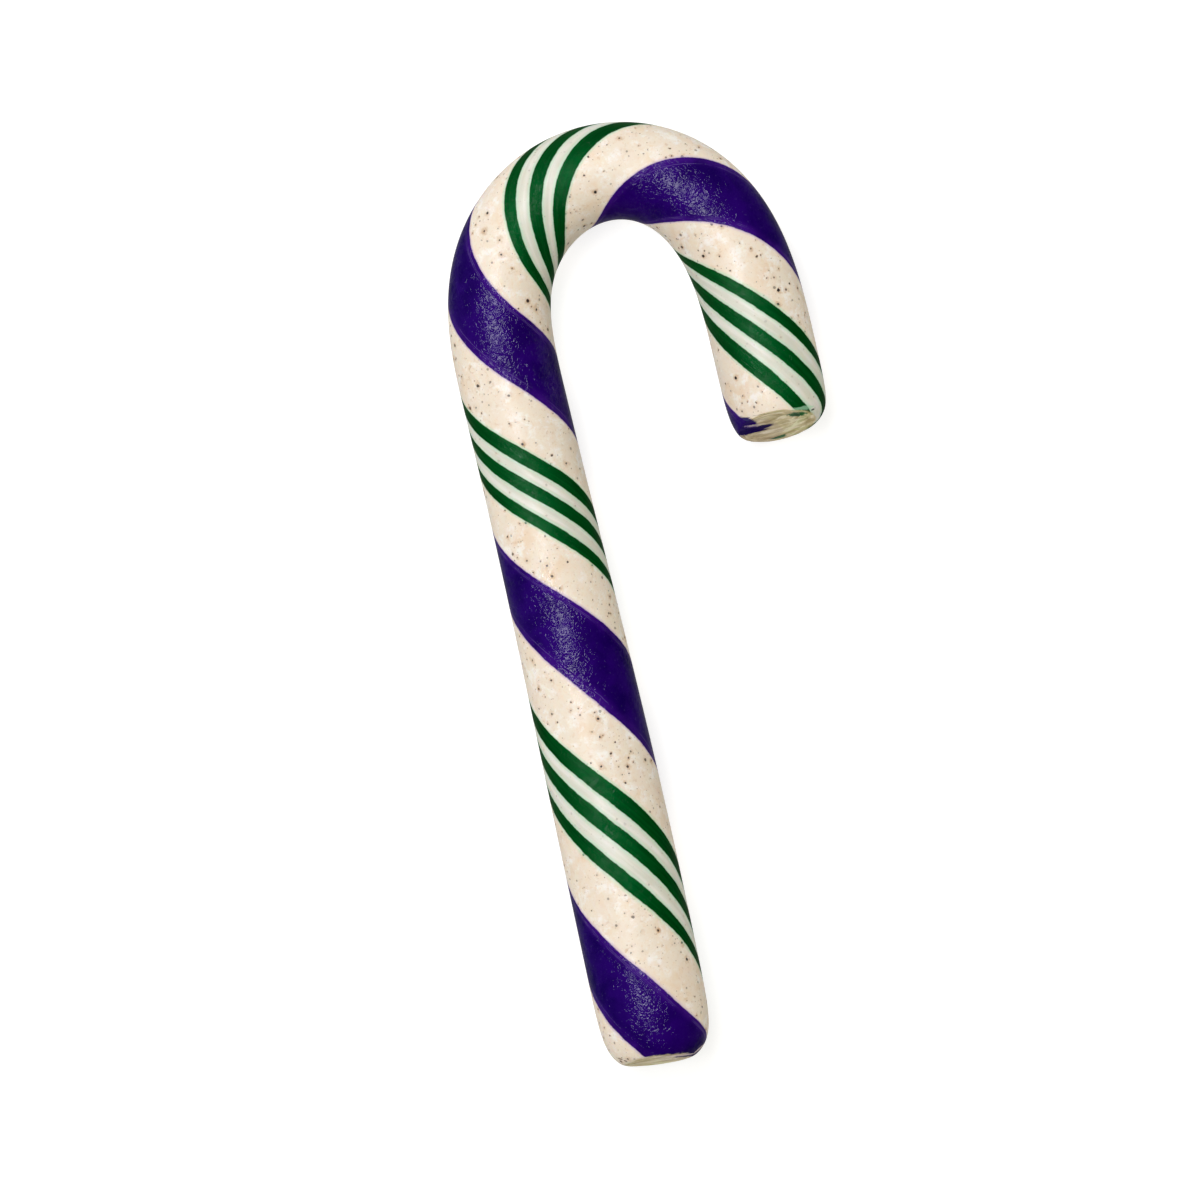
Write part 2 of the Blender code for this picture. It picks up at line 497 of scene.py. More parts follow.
@dataclass
class ShaderBench:
    """A small bench on which the nodes of a material or of the room are put together."""

    owner: bpy.types.Material | bpy.types.World
    tree: bpy.types.NodeTree = field(init=False)

    def __post_init__(self) -> None:
        """Take the owner's node tree."""
        self.owner.use_nodes = True
        self.tree = self.owner.node_tree

    def node(self, kind: str, **settings: object) -> bpy.types.Node:
        """Add a node.

        Args:
            kind: The node's type.
            settings: Values for the node's own properties.

        Returns:
            The node.
        """
        made = self.tree.nodes.new(kind)
        for name, value in settings.items():
            setattr(made, name, value)
        return made

    def feed(self, target: Socket, value: object) -> None:
        """Link a socket to the target, or set the target's own value.

        Args:
            target: The socket to feed.
            value: The socket or value that goes in.
        """
        if isinstance(value, bpy.types.NodeSocket):
            self.tree.links.new(value, target)
        else:
            target.default_value = value

    def feed_all(self, made: bpy.types.Node, *values: object) -> None:
        """Feed a node's first inputs in order.

        Args:
            made: The node.
            values: The numbers or sockets that go in.
        """
        for target, value in zip(made.inputs, values):
            self.feed(target, value)

    def math(self, operation: str, *values: object) -> Socket:
        """Do a sum.

        Args:
            operation: The name of the sum.
            values: The numbers or sockets that go in.

        Returns:
            The result.
        """
        made = self.node("ShaderNodeMath", operation=operation)
        self.feed_all(made, *values)
        return made.outputs["Value"]

    def times(self, *values: object) -> Socket:
        """Multiply numbers or sockets.

        Args:
            values: What is multiplied, in order.

        Returns:
            The result.
        """
        result = values[0]
        for value in values[1:]:
            result = self.math("MULTIPLY", result, value)
        return result

    def sum_vector(self, operation: str, *values: object) -> bpy.types.Node:
        """Do a sum with vectors.

        Args:
            operation: The name of the sum.
            values: The vectors or sockets that go in.

        Returns:
            The node, whose outputs are the vector and the value that come out.
        """
        made = self.node("ShaderNodeVectorMath", operation=operation)
        self.feed_all(made, *values)
        return made

    def rise(self, value: Socket, rise: Rise) -> Socket:
        """Make a smooth rise.

        Args:
            value: What the rise follows.
            rise: The rise.

        Returns:
            The result, kept between the rise's low and high.
        """
        made = self.node("ShaderNodeMapRange", interpolation_type="SMOOTHSTEP")
        self.feed_all(made, value, rise.start, rise.end, rise.low, rise.high)
        return made.outputs["Result"]

    def mix(self, share: object, first: object, second: object) -> Socket:
        """Mix two colours.

        Args:
            share: The share of the second colour.
            first: The first colour.
            second: The second colour.

        Returns:
            The mixed colour.
        """
        made = self.node("ShaderNodeMix", data_type="RGBA")
        self.feed(made.inputs[0], share)
        self.feed(made.inputs[6], first)
        self.feed(made.inputs[7], second)
        return made.outputs[2]

    def clouds(self, place: Socket, clouds: Clouds) -> Socket:
        """Make a cloudy pattern.

        Args:
            place: The place that it reads.
            clouds: The clouds, whose stretch is along the rope.

        Returns:
            The pattern, from 0 to 1 and about a half on average.
        """
        if clouds.stretch != 1.0:
            place = self.sum_vector("DIVIDE", place, (1.0, 1.0, clouds.stretch)).outputs["Vector"]
        made = self.node("ShaderNodeTexNoise", noise_dimensions="3D")
        for name, value in (
            ("Vector", place),
            ("Scale", 1.0 / clouds.size),
            ("Detail", clouds.detail),
            ("Roughness", clouds.rough),
            ("Distortion", clouds.warp),
        ):
            self.feed(made.inputs[name], value)
        return made.outputs[0]

    def pattern(self, place: Socket, pattern: Pattern) -> Socket:
        """Make clouds and pick out their brighter part.

        Args:
            place: The place that the clouds read.
            pattern: The clouds and their rise.

        Returns:
            The share at each point.
        """
        return self.rise(self.clouds(place, pattern.clouds), pattern.rise)

    def unevenness(self, place: Socket, clouds: Clouds) -> Socket:
        """Make clouds about 0.

        Args:
            place: The place that the clouds read.
            clouds: The clouds.

        Returns:
            The clouds, from -0.5 to 0.5.
        """
        return self.math("SUBTRACT", self.clouds(place, clouds), 0.5)

    def seeds(self, place: Socket, facing: Socket, spacing: float) -> tuple[Socket, Socket, Socket]:
        """Scatter seeds in space.

        Args:
            place: The place that the pattern reads.
            facing: The direction that the surface faces.
            spacing: The usual distance between two seeds.

        Returns:
            The nearest seed's random colour, its height off the surface, and how far away it is
            along the surface.
        """
        made = self.node("ShaderNodeTexVoronoi", voronoi_dimensions="3D", feature="F1")
        self.feed(made.inputs["Vector"], place)
        self.feed(made.inputs["Scale"], 1.0 / spacing)
        offset = self.sum_vector("SUBTRACT", made.outputs["Position"], place).outputs["Vector"]
        high = self.sum_vector("DOT_PRODUCT", offset, facing).outputs["Value"]
        reach = self.sum_vector("LENGTH", offset).outputs["Value"]
        square = self.math("SUBTRACT", self.times(reach, reach), self.times(high, high))
        away = self.math("SQRT", self.math("MAXIMUM", square, 0.0))
        return made.outputs["Color"], high, away

    def parts(self, value: Socket, kind: str = "ShaderNodeSeparateXYZ") -> list[Socket]:
        """Take a vector or colour apart.

        Args:
            value: The vector or colour.
            kind: The type of the node that takes it apart.

        Returns:
            Its three parts.
        """
        made = self.node(kind)
        self.feed(made.inputs[0], value)
        return list(made.outputs)

    def bump(self, height: Socket, distance: float) -> Socket:
        """Make a fine relief.

        Args:
            height: The relief's pattern.
            distance: How high a pattern of 1 stands.

        Returns:
            The direction that the relief faces.
        """
        made = self.node("ShaderNodeBump")
        made.inputs["Strength"].default_value = 1.0
        made.inputs["Distance"].default_value = distance
        self.feed(made.inputs["Height"], height)
        return made.outputs["Normal"]


@dataclass(frozen=True)
class Speckle:
    """A layer of ground vanilla specks in the pale sugar."""

    spacing: float
    shell: float
    least_radius: float
    most_radius: float
    share: float
    strength: float
    colour: Colour
    halo_radius: float = 0.0
    halo_strength: float = 0.0


@dataclass(frozen=True)
class Smear:
    """Coloured sugar that the shears dragged over a cut face, or a painted shade or painted highlight
    line on it, as a ragged lozenge.
    """

    end: RopeEnd
    colour: Colour
    across: float
    back: float
    half_length: float
    half_width: float
    tilt_degrees: float
    ragged: float = 0.5
    strength: float = 1.0


@dataclass(frozen=True)
class SugarColours:
    """The colours of the boiled sugar, by the light that each one gives back."""

    ivory: Colour = (0.87, 0.775, 0.655, 1.0)
    peach: Colour = (0.83, 0.655, 0.475, 1.0)
    milk: Colour = (0.95, 0.92, 0.88, 1.0)
    tan: Colour = (0.58, 0.37, 0.20, 1.0)
    strip: Colour = (0.645, 0.67, 0.58, 1.0)
    strip_milk: Colour = (0.80, 0.81, 0.76, 1.0)
    violet: Colour = (0.0125, 0.0028, 0.112, 1.0)
    deep_violet: Colour = (0.0045, 0.0026, 0.070, 1.0)
    # The lighter violet beside the purple's borders is partly thinner dye and partly painted sheen
    border_violet_and_sheen: Colour = (0.0400, 0.0080, 0.180, 1.0)
    violet_glow: Colour = (0.32, 0.09, 1.0, 1.0)
    lilac: Colour = (0.56, 0.42, 0.62, 1.0)
    scratch: Colour = (0.22, 0.16, 0.40, 1.0)
    green: Colour = (0.0045, 0.050, 0.0080, 1.0)
    dragged_green: Colour = (0.014, 0.130, 0.040, 1.0)
    deep_green: Colour = (0.0040, 0.025, 0.0045, 1.0)
    green_glow: Colour = (0.03, 1.0, 0.27, 1.0)
    mint: Colour = (0.40, 0.72, 0.50, 1.0)
    pale_glow: Colour = (0.90, 0.95, 1.0, 1.0)
    # The cut colours are partly painted shade and highlight: the cut face's tan is darkened for the
    # shade it lies in, cut_shade is painted shade and cut_light is painted highlight
    cut: Colour = (0.68, 0.58, 0.335, 1.0)
    cut_shade: Colour = (0.46, 0.365, 0.18, 1.0)
    cut_light: Colour = (0.95, 0.87, 0.66, 1.0)
    seam_light: Colour = (0.80, 0.66, 0.62, 1.0)
    seam_brown: Colour = (0.20, 0.12, 0.075, 1.0)


DYES = SugarColours()

# Each layer's spacing, shell, least and most radius, share, strength and colour, and the radius
# and strength of its stains
VANILLA = (
    Speckle(0.00075, 0.00030, 0.00004, 0.00010, 0.32, 0.75, (0.24, 0.12, 0.055, 1.0)),
    Speckle(0.00125, 0.00045, 0.00008, 0.00018, 0.36, 1.00, (0.060, 0.028, 0.013, 1.0), 0.00045, 0.70),
    Speckle(0.00230, 0.00080, 0.00014, 0.00026, 0.52, 1.00, (0.020, 0.008, 0.004, 1.0), 0.00085, 0.85),
)

# Each smear's end, colour, place across and back, half length, half width and tilt in degrees,
# and how ragged and how strong it is
DRAGGED_SUGAR_AND_PAINTED_SHADING = (
    # The cut_shade rows are painted shade lines and the cut_light rows are painted highlight lines on
    # the cut faces
    Smear(RopeEnd.FOOT, DYES.cut_shade, -0.0020, 0.00185, 0.0042, 0.00022, 3.0, 0.8, 0.55),
    Smear(RopeEnd.FOOT, DYES.cut_light, -0.0012, 0.00148, 0.0042, 0.00034, 3.0, 0.7, 0.50),
    Smear(RopeEnd.FOOT, DYES.deep_violet, 0.0042, 0.00135, 0.0027, 0.00030, -4.0, 0.5, 0.90),
    Smear(RopeEnd.FOOT, DYES.deep_violet, 0.0064, 0.00200, 0.0013, 0.00040, 42.0, 0.4, 0.95),
    Smear(RopeEnd.FOOT, DYES.seam_light, 0.0029, 0.00164, 0.0023, 0.00012, -5.0, 0.3, 0.85),
    Smear(RopeEnd.FOOT, DYES.seam_light, 0.0059, 0.00202, 0.0013, 0.00012, 27.0, 0.3, 0.80),
    Smear(RopeEnd.FOOT, DYES.seam_brown, -0.0061, 0.00290, 0.0004, 0.00012, -30.0, 0.5, 0.75),
    Smear(RopeEnd.FOOT, DYES.seam_brown, -0.0054, 0.00250, 0.0003, 0.00010, -35.0, 0.5, 0.80),
    Smear(RopeEnd.TIP, DYES.violet, -0.0050, 0.00450, 0.0020, 0.00100, -42.0, 0.25, 1.00),
    Smear(RopeEnd.TIP, DYES.violet, -0.0061, 0.00395, 0.0012, 0.00075, -40.0, 0.3, 1.00),
    Smear(RopeEnd.TIP, DYES.lilac, -0.0042, 0.00390, 0.0014, 0.00016, -20.0, 0.6, 0.40),
    Smear(RopeEnd.TIP, DYES.deep_violet, -0.0041, 0.00330, 0.0027, 0.00046, -8.0, 0.35, 1.00),
    Smear(RopeEnd.TIP, DYES.dragged_green, 0.0026, 0.00300, 0.0015, 0.00030, -17.0, 0.7, 0.95),
    Smear(RopeEnd.TIP, DYES.deep_green, 0.0027, 0.00292, 0.0009, 0.00014, -17.0, 0.7, 0.45),
    Smear(RopeEnd.TIP, DYES.mint, 0.0036, 0.00355, 0.0016, 0.00030, -14.0, 0.6, 0.55),
    Smear(RopeEnd.TIP, DYES.dragged_green, -0.0011, 0.00095, 0.0013, 0.00020, -6.0, 0.8, 0.95),
    Smear(RopeEnd.TIP, DYES.deep_green, 0.0050, 0.00279, 0.0003, 0.00012, 5.0, 0.5, 0.90),
    Smear(RopeEnd.TIP, DYES.cut_light, 0.0014, 0.00235, 0.0024, 0.00009, -7.0, 0.6, 0.70),
    Smear(RopeEnd.TIP, DYES.cut_light, -0.0036, 0.00385, 0.0014, 0.00012, -14.0, 0.6, 0.45),
    Smear(RopeEnd.TIP, DYES.seam_brown, -0.0024, 0.00495, 0.0011, 0.00006, -14.0, 0.8, 0.60),
    Smear(RopeEnd.TIP, DYES.seam_brown, -0.0002, 0.00400, 0.0012, 0.00005, -17.0, 0.8, 0.35),
)


@dataclass(frozen=True)
class SugarWork:
    """What the methods of the finish share.

    Attributes:
        bench: The bench to work on.
        shader: The shader to set up.
        skin: The place in space.
        sugar: The place in the untwisted rope.
        cut: The place on the cut: across, back and depth.
        angle: The angle round the untwisted rope in degrees.
        purple: The degrees outside the purple stripe.
        green: The degrees outside the nearest green stripe.
        strip: The degrees outside the strips between the green stripes.
    """

    bench: ShaderBench
    shader: bpy.types.Node
    skin: Socket
    sugar: Socket
    cut: Socket
    angle: Socket
    purple: Socket
    green: Socket
    strip: Socket


@dataclass(frozen=True)
class BoiledSugar:
    """The finish of the rope: pale sugar with specks, dyed stripes, and a worn gloss."""

    dyes: SugarColours = DYES

    # Where the stripes lie, in degrees round the untwisted rope
    purple_middle: float = 50.0
    purple_half: float = 50.0
    green_middles: tuple[float, ...] = (177.95, 218.3, 258.95)
    green_halves: tuple[float, ...] = (9.35, 10.3, 11.65)
    strip_middle: float = 219.6
    strip_half: float = 46.0
    scratches: tuple[float, ...] = (9.3, 91.4, 93.6)
    edge_waves: Clouds = Clouds(0.0030, 1.0)
    wave_degrees: float = 3.0
    edge_frays: Clouds = Clouds(0.0006)
    fray_degrees: float = 1.8
    dyed: Rise = Rise(0.6, -0.6)

    # Pale sugar
    peach: Pattern = Pattern(Clouds(0.0040, 4.0, 0.62, 0.4), Rise(0.47, 0.74, 0.0, 0.75))
    milk: Pattern = Pattern(Clouds(0.0024, 4.0, 0.70, 0.2), Rise(0.48, 0.68, 0.0, 0.90))
    grain: Pattern = Pattern(Clouds(0.0009, 3.0, 0.65), Rise(0.58, 0.76, 0.0, 0.40))
    crumb: Pattern = Pattern(Clouds(0.00040, 2.0, 0.6), Rise(0.54, 0.72, 0.0, 0.50))
    strip_streaks: Pattern = Pattern(Clouds(0.0011, stretch=7.0), Rise(0.35, 0.72))
    in_strip: Rise = Rise(1.0, -1.0, 0.0, 0.85)

    # Vanilla specks
    specks: tuple[Speckle, ...] = VANILLA
    in_ivory: Rise = Rise(-2.0, 2.0, 0.30, 1.0)
    crowd: Pattern = Pattern(Clouds(0.0060), Rise(0.35, 0.62, 0.45, 1.25))
    speck_edge: Clouds = Clouds(0.00035, 2.0, 0.6)
    speck_ragged: float = 0.00022
    speck_blur: float = 0.00004
    speck_tone: Rise = Rise(0.0, 0.8, 0.45, 1.0)
    stain_edge: Clouds = Clouds(0.00070, 3.0, 0.7)
    stain_ragged: float = 0.0016

    # Dyed sugar
    lilac_tint: Rise = Rise(4.5, -0.5, 0.0, 0.80)
    mint_tint: Rise = Rise(6.0, -0.5, 0.0, 0.62)
    patches: Clouds = Clouds(0.0045, 3.0, 0.6, 0.3)
    violet_patches: Rise = Rise(0.34, 0.64)
    thin_border_and_sheen: Rise = Rise(-17.0, -2.0)
    thin_patches: Rise = Rise(0.30, 0.62, 0.25, 0.85)
    pale_flecks: Pattern = Pattern(Clouds(0.00045, 1.0), Rise(0.66, 0.80, 0.0, 0.10))
    worn: Pattern = Pattern(Clouds(0.0040), Rise(0.42, 0.60, 0.0, 0.30))
    scratch_line: Rise = Rise(0.9, 0.0)
    leaf_streaks: Pattern = Pattern(Clouds(0.00050, 3.0, 0.6, stretch=12.0), Rise(0.32, 0.68))
    stripe_edge: Rise = Rise(0.8, -0.8)

    # Cut faces with painted shade and painted highlight streaks, and the sugar dragged over them
    cut_frays: Clouds = Clouds(0.0007)
    cut_ragged: float = 0.00045
    cut_edge: Rise = Rise(-0.00012, 0.00028)
    drawn: Clouds = Clouds(0.00060, 4.0, 0.65, 0.3)
    drawn_degrees: float = -6.0
    drawn_stretch: float = 9.0
    drawn_shade: Rise = Rise(0.34, 0.50)
    drawn_light: Rise = Rise(0.50, 0.64)
    smears: tuple[Smear, ...] = DRAGGED_SUGAR_AND_PAINTED_SHADING
    smear_frays: Clouds = Clouds(0.00035, 3.0, 0.6)
    smear_ragged: float = 3.0
    smear_outside: float = 1.12
    smear_inside: float = 0.80
    lowest_on_foot: float = 0.0075
    lowest_on_tip: float = 0.0038
    lowest_fade: float = 0.0015

    # Depth under the skin
    roughness: Pattern = Pattern(Clouds(0.0022, 2.0, 0.6), Rise(0.3, 0.7, 0.68, 0.78))
    cut_roughness: float = 0.08
    pale_depth: float = 0.25
    depth_colours: tuple[float, float, float] = (1.0, 0.65, 0.35)
    depth_reach: float = 0.0006
    refraction: float = 1.5
    sheen: float = 1.0
    lumps: Clouds = Clouds(0.0016)
    lump_height: float = 0.00006

    # Glossy skin
    pale_gloss: float = 0.25
    purple_gloss: float = 0.20
    green_gloss: float = -0.07
    gloss_roughness: float = 0.06
    wrinkles: Clouds = Clouds(0.00075, 1.0, 0.5, 1.0)
    calm: Pattern = Pattern(Clouds(0.0020), Rise(0.35, 0.60, 0.60, 1.15))
    pale_folds: float = 0.40
    dyed_folds: float = 0.60
    lines: Clouds = Clouds(0.00020, 1.0, stretch=40.0)
    pale_lines: float = 0.04
    green_lines: float = 0.32
    groove: Rise = Rise(1.2, 0.0, 0.0, 0.80)
    fold_height: float = 0.00030

    def material(self) -> bpy.types.Material:
        """Put the finish together.

        Returns:
            The material.
        """
        material = bpy.data.materials.new(SLOT_NAME)
        bench = ShaderBench(material)
        sugar = bench.node("ShaderNodeAttribute", attribute_name=SUGAR_PLACE).outputs["Vector"]
        angle = self.stripe_angle(bench, sugar)
        greens = [
            self.beyond(bench, angle, middle, half)
            for middle, half in zip(self.green_middles, self.green_halves)
        ]
        work = SugarWork(
            bench=bench,
            shader=bench.tree.nodes["Principled BSDF"],
            skin=bench.node("ShaderNodeTexCoord").outputs["Object"],
            sugar=sugar,
            cut=bench.node("ShaderNodeAttribute", attribute_name=CUT_PLACE).outputs["Vector"],
            angle=angle,
            purple=self.beyond(bench, angle, self.purple_middle, self.purple_half),
            green=bench.math("MINIMUM", bench.math("MINIMUM", greens[0], greens[1]), greens[2]),
            strip=self.beyond(bench, angle, self.strip_middle, self.strip_half),
        )
        colour = self.striped(work, self.speckled(work, self.pale_sugar(work)))
        colour, on_cut = self.cut_ends(work, colour)
        bench.feed(work.shader.inputs["Base Color"], colour)
        purple = bench.rise(work.purple, self.dyed)
        green = bench.rise(work.green, self.dyed)
        self.depth_of_sugar(work, purple, green, on_cut)
        self.wrinkled_skin(work, purple, green)
        return material

    def stripe_angle(self, bench: ShaderBench, sugar: Socket) -> Socket:
        """Return the angle round the untwisted rope, with slightly uneven edges.

        Args:
            bench: The bench to work on.
            sugar: The place in the untwisted rope.

        Returns:
            The angle in degrees.
        """
        across, up, _ = bench.parts(sugar)
        angle = bench.math("DEGREES", bench.math("ARCTAN2", up, across))
        waves = bench.unevenness(sugar, self.edge_waves)
        frays = bench.unevenness(sugar, self.edge_frays)
        angle = bench.math("MULTIPLY_ADD", waves, self.wave_degrees, angle)
        return bench.math("MULTIPLY_ADD", frays, self.fray_degrees, angle)

    def beyond(self, bench: ShaderBench, angle: Socket, middle: float, half: float) -> Socket:
        """Return how far a point is outside a stripe.

        Args:
            bench: The bench to work on.
            angle: The point's angle in degrees.
            middle: The stripe's middle in degrees.
            half: Half the stripe's width in degrees.

        Returns:
            The degrees outside the stripe, below 0 inside it.
        """
        away = bench.math("WRAP", bench.math("SUBTRACT", angle, middle), 180.0, -180.0)
        return bench.math("SUBTRACT", bench.math("ABSOLUTE", away), half)

    def off_scratch(self, work: SugarWork, middle: float) -> Socket:
        """Return how many degrees a point is off the middle of a scratch."""
        return work.bench.math("ABSOLUTE", work.bench.math("SUBTRACT", work.angle, middle))

    def pale_sugar(self, work: SugarWork) -> Socket:
        """Return the colour of the pale sugar.

        Args:
            work: What the finish is made from.

        Returns:
            Ivory with peach and milky clouds and faint tan grains, or a cooler white in the strips.
        """
        bench, dyes = work.bench, self.dyes
        colour = dyes.ivory
        for pattern, dye in (
            (self.peach, dyes.peach),
            (self.milk, dyes.milk),
            (self.grain, dyes.tan),
            (self.crumb, dyes.peach),
        ):
            colour = bench.mix(bench.pattern(work.skin, pattern), colour, dye)
        drawn = bench.pattern(work.sugar, self.strip_streaks)
        pale = bench.mix(drawn, dyes.strip, dyes.strip_milk)
        return bench.mix(bench.rise(work.strip, self.in_strip), colour, pale)

    def speckled(self, work: SugarWork, colour: Socket) -> Socket:
        """Return the pale sugar with its specks.

        Args:
            work: What the finish is made from.
            colour: The colour of the pale sugar.

        Returns:
            The colour with specks, in loose crowds, and a stain round the larger ones.
        """
        bench, blur = work.bench, self.speck_blur
        facing = bench.node("ShaderNodeTexCoord").outputs["Normal"]
        in_ivory = bench.rise(work.strip, self.in_ivory)
        crowd = bench.pattern(work.skin, self.crowd)
        uneven = bench.unevenness(work.skin, self.speck_edge)
        stain = bench.unevenness(work.skin, self.stain_edge)
        for layer in self.specks:
            chance, high, away = bench.seeds(work.skin, facing, layer.spacing)
            size, luck, tone = bench.parts(chance, "ShaderNodeSeparateColor")
            lucky = bench.math("LESS_THAN", luck, bench.times(crowd, layer.share))
            near = bench.math("LESS_THAN", bench.math("ABSOLUTE", high), layer.shell)
            there = bench.times(lucky, near, in_ivory)
            if layer.halo_radius > 0.0:
                reach = bench.math("MULTIPLY_ADD", stain, self.stain_ragged, away)
                halo = bench.rise(reach, Rise(layer.halo_radius, 0.0, 0.0, layer.halo_strength))
                colour = bench.mix(bench.times(halo, there, tone), colour, self.dyes.tan)
            spread = layer.most_radius - layer.least_radius
            square = bench.times(size, size)
            radius = bench.math("MULTIPLY_ADD", square, spread, layer.least_radius)
            edge = bench.math("MULTIPLY_ADD", uneven, self.speck_ragged, away)
            edge = bench.math("SUBTRACT", edge, radius)
            dark = bench.rise(edge, Rise(blur, -blur, 0.0, layer.strength))
            dark = bench.times(dark, there, bench.rise(tone, self.speck_tone))
            colour = bench.mix(dark, colour, layer.colour)
        return colour

    def striped(self, work: SugarWork, colour: Socket) -> Socket:
        """Lay the dyed stripes over the pale sugar, with a thin tint beside each border.

        Args:
            work: What the finish is made from.
            colour: The colour of the pale sugar.

        Returns:
            The colour with its stripes.
        """
        bench, dyes = work.bench, self.dyes
        colour = bench.mix(bench.rise(work.purple, self.lilac_tint), colour, dyes.lilac)
        colour = bench.mix(bench.rise(work.green, self.mint_tint), colour, dyes.mint)
        patches = bench.clouds(work.skin, self.patches)
        deep = bench.rise(patches, self.violet_patches)
        violet = bench.mix(deep, dyes.deep_violet, dyes.violet)
        # A lighter violet beside the purple's borders: partly thinner dye at the edge, partly a
        # painted sheen
        near = bench.rise(work.purple, self.thin_border_and_sheen)
        near = bench.times(near, bench.rise(patches, self.thin_patches))
        violet = bench.mix(near, violet, dyes.border_violet_and_sheen)
        # Faint pale flecks mixed into the purple
        violet = bench.mix(bench.pattern(work.skin, self.pale_flecks), violet, dyes.scratch)
        worn = bench.pattern(work.skin, self.worn)
        for middle in self.scratches:
            line = bench.rise(self.off_scratch(work, middle), self.scratch_line)
            violet = bench.mix(bench.times(line, worn), violet, dyes.scratch)
        drawn = bench.pattern(work.sugar, self.leaf_streaks)
        leaf = bench.mix(drawn, dyes.deep_green, dyes.green)
        colour = bench.mix(bench.rise(work.purple, self.stripe_edge), colour, violet)
        return bench.mix(bench.rise(work.green, self.stripe_edge), colour, leaf)

    def cut_ends(self, work: SugarWork, colour: Socket) -> tuple[Socket, Socket]:
        """Lay the cut faces over the stripes: drawn-out streaky sugar whose tan is partly painted
        shade, with painted shade in the darker streaks and painted highlight in the lighter ones.

        Args:
            work: What the finish is made from.
            colour: The colour with its stripes.

        Returns:
            The colour with the cut faces, and the share of the cut at each point.
        """
        bench, dyes = work.bench, self.dyes
        depth = bench.parts(work.cut)[2]
        ragged = bench.unevenness(work.cut, self.cut_frays)
        edge = bench.math("MULTIPLY_ADD", ragged, self.cut_ragged, depth)
        on_cut = bench.rise(edge, self.cut_edge)
        turned = bench.node("ShaderNodeMapping", vector_type="TEXTURE")
        bench.feed(turned.inputs["Vector"], work.cut)
        turned.inputs["Rotation"].default_value = (0.0, 0.0, math.radians(self.drawn_degrees))
        turned.inputs["Scale"].default_value = (self.drawn_stretch, 1.0, 1.0)
        drawn = bench.clouds(turned.outputs["Vector"], self.drawn)
        # Painted shade in the darker streaks and painted highlight in the lighter ones, over a tan
        # that is partly painted shade
        face = bench.mix(bench.rise(drawn, self.drawn_shade), dyes.cut_shade, dyes.cut)
        face = bench.mix(bench.rise(drawn, self.drawn_light), face, dyes.cut_light)
        colour = bench.mix(on_cut, colour, face)
        fray = bench.unevenness(turned.outputs["Vector"], self.smear_frays)
        # Some smears are painted shade or painted highlight lines, the others coloured sugar
        for smear in self.smears:
            colour = bench.mix(self.smear_mask(work, fray, smear), colour, smear.colour)
        return colour, on_cut

    def smear_mask(self, work: SugarWork, fray: Socket, smear: Smear) -> Socket:
        """Return where a smear lies.

        Args:
            work: What the finish is made from.
            fray: A drawn-out pattern about 0 that frays the smear's edge.
            smear: The smear.

        Returns:
            The smear's share at each point.
        """
        bench = work.bench
        across, back, _ = bench.parts(work.cut)
        offset, low = 0.0, self.lowest_on_foot
        if smear.end is RopeEnd.TIP:
            offset, low = TIP_OFFSET, self.lowest_on_tip
        right = bench.math("SUBTRACT", across, smear.across + offset)
        up = bench.math("SUBTRACT", back, smear.back)
        tilt = math.radians(smear.tilt_degrees)
        along = bench.times(right, math.cos(tilt) / smear.half_length)
        along = bench.math("MULTIPLY_ADD", up, math.sin(tilt) / smear.half_length, along)
        aside = bench.times(right, -math.sin(tilt) / smear.half_width)
        aside = bench.math("MULTIPLY_ADD", up, math.cos(tilt) / smear.half_width, aside)
        square = bench.math("MULTIPLY_ADD", aside, aside, bench.times(along, along))
        reach = bench.math("SQRT", square)
        reach = bench.math("MULTIPLY_ADD", fray, smear.ragged * self.smear_ragged, reach)
        inside = bench.rise(reach, Rise(self.smear_outside, self.smear_inside, 0.0, smear.strength))
        high = bench.parts(work.skin)[2]
        return bench.times(inside, bench.rise(high, Rise(low, low + self.lowest_fade)))

    def depth_of_sugar(
        self, work: SugarWork, purple: Socket, green: Socket, on_cut: Socket
    ) -> None:
        """Give the sugar under its skin a soft, coloured glow and a little depth.

        Args:
            work: What the finish is made from.
            purple: The share of purple sugar.
            green: The share of green sugar.
            on_cut: The share of the cut faces.
        """
        bench, dyes, inputs = work.bench, self.dyes, work.shader.inputs
        rough = bench.pattern(work.skin, self.roughness)
        rough = bench.math("MULTIPLY_ADD", on_cut, self.cut_roughness, rough)
        glow = bench.mix(purple, dyes.pale_glow, dyes.violet_glow)
        pale = bench.math("SUBTRACT", 1.0, bench.math("MAXIMUM", purple, green))
        bench.feed(inputs["Roughness"], rough)
        bench.feed(inputs["Specular Tint"], bench.mix(green, glow, dyes.green_glow))
        bench.feed(inputs["Subsurface Weight"], bench.times(pale, self.pale_depth))
        inputs["Subsurface Radius"].default_value = self.depth_colours
        inputs["Subsurface Scale"].default_value = self.depth_reach
        inputs["IOR"].default_value = self.refraction
        inputs["Specular IOR Level"].default_value = self.sheen
        lumps = bench.clouds(work.skin, self.lumps)
        bench.feed(inputs["Normal"], bench.bump(lumps, self.lump_height))

